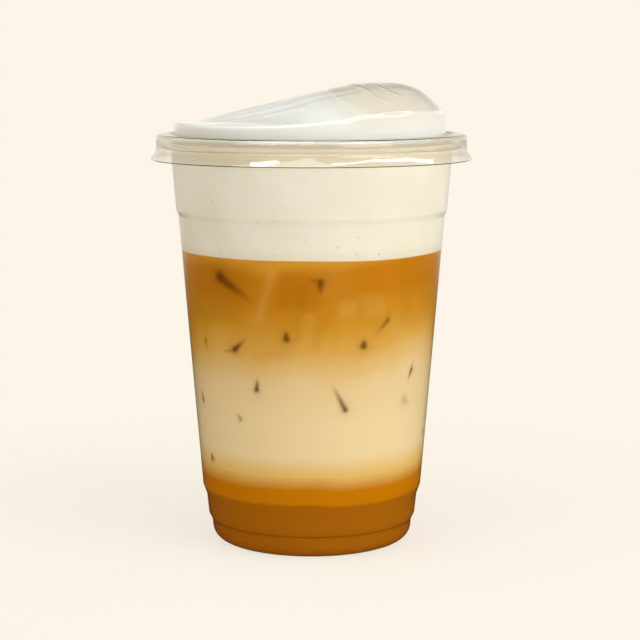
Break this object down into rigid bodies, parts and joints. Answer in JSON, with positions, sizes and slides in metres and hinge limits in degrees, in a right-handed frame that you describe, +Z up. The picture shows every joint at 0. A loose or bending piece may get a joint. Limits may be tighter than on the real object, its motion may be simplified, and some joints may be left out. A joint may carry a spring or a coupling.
{
  "type": "iced vanilla latte in a lidded cold cup",
  "caption": "Iced vanilla latte in a clear cold cup with a clear sip-through lid: dark amber base, pale milk, coffee and a deep cream foam that fills the lid.",
  "frame": {"origin": "centre of the foot ring, on the surface that the cup stands on", "axes": "+Z up along the cup's axis, +X from the axis towards the lid's raised spout, +Y to the side"},
  "size_m": [0.1032, 0.1032, 0.148],
  "materials": {
    "cup_plastic": "clear, smooth and glossy",
    "lid_plastic": "clear, glossy, with soft folds",
    "amber_coffee": "wet, seen through the cup",
    "milk": "wet and cloudy",
    "milky_coffee": "wet and cloudy",
    "cream_foam": "fine, soft foam"
  },
  "bodies": {
    "root": {"cup": "cup_plastic", "lid": "lid_plastic", "drink_base": "amber_coffee", "drink_milk": "milk", "drink_coffee": "milky_coffee", "foam": "cream_foam"}
  },
  "joints": []
}
